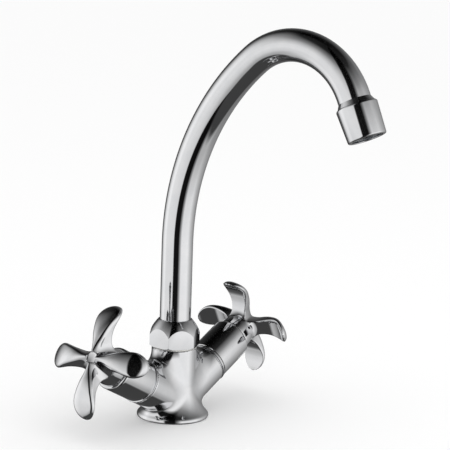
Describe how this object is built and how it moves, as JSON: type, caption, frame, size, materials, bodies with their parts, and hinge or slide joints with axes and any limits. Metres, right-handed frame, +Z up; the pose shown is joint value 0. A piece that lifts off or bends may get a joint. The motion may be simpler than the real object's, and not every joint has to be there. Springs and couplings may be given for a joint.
{
  "type": "two handle kitchen faucet",
  "caption": "Deck-mounted kitchen mixer faucet with four-petal cross handles on inclined side valves and a tall swivelling arched spout ending in an aerator.",
  "frame": {"origin": "centre of the base's underside, where it stands on the deck; the spout's swivel axis passes through it", "axes": "+Z up along the swivel axis, -Y towards the sink and the closed spout's outlet, -X towards the hot side's handle and +X towards the cold side's"},
  "size_m": [0.1982, 0.2067, 0.2812],
  "materials": {
    "chromed_brass": "mirror chrome plate on brass",
    "brass": "machined brass",
    "rubber": "moulded EPDM",
    "ceramic": "lapped alumina ceramic, opaque",
    "white_plastic": "turned acetal",
    "aerator_plastic": "moulded, light grey",
    "stainless_mesh": "pierced stainless sheet",
    "stainless_steel": "plain stainless"
  },
  "bodies": {
    "body": {"body_casting": "chromed_brass", "base_gasket": "rubber", "spout_nut": "chromed_brass", "nut_washer": "white_plastic", "spout_slip_ring": "white_plastic", "left_trim_ring": "chromed_brass", "left_sleeve": "chromed_brass", "left_valve_body": "brass", "left_seat_seal": "rubber", "left_fixed_disc": "ceramic", "right_trim_ring": "chromed_brass", "right_sleeve": "chromed_brass", "right_valve_body": "brass", "right_seat_seal": "rubber", "right_fixed_disc": "ceramic"},
    "spout": {"spout_ferrule": "brass", "spout_o_rings": "rubber", "spout_tube": "chromed_brass", "spout_nose": "chromed_brass", "aerator_housing": "chromed_brass", "aerator_cartridge": "aerator_plastic", "aerator_screen": "stainless_mesh", "aerator_washer": "rubber"},
    "left_control": {"left_handle": "chromed_brass", "left_set_screw": "stainless_steel", "left_stem": "brass", "left_stem_o_rings": "rubber", "left_circlip": "stainless_steel", "left_moving_disc": "ceramic"},
    "right_control": {"right_handle": "chromed_brass", "right_set_screw": "stainless_steel", "right_stem": "brass", "right_stem_o_rings": "rubber", "right_circlip": "stainless_steel", "right_moving_disc": "ceramic"}
  },
  "joints": [
    {"name": "spout_swivel", "type": "hinge", "parent": "body", "child": "spout", "pos_m": [0, 0, 0.06], "axis": [0, 0, 1], "continuous": true},
    {"name": "left_valve_turn", "type": "hinge", "parent": "body", "child": "left_control", "pos_m": [0, 0, 0.013], "axis": [-0.891, 0, 0.454], "range_deg": [0, 180]},
    {"name": "right_valve_turn", "type": "hinge", "parent": "body", "child": "right_control", "pos_m": [0, 0, 0.013], "axis": [0.891, 0, 0.454], "range_deg": [0, 180]}
  ]
}
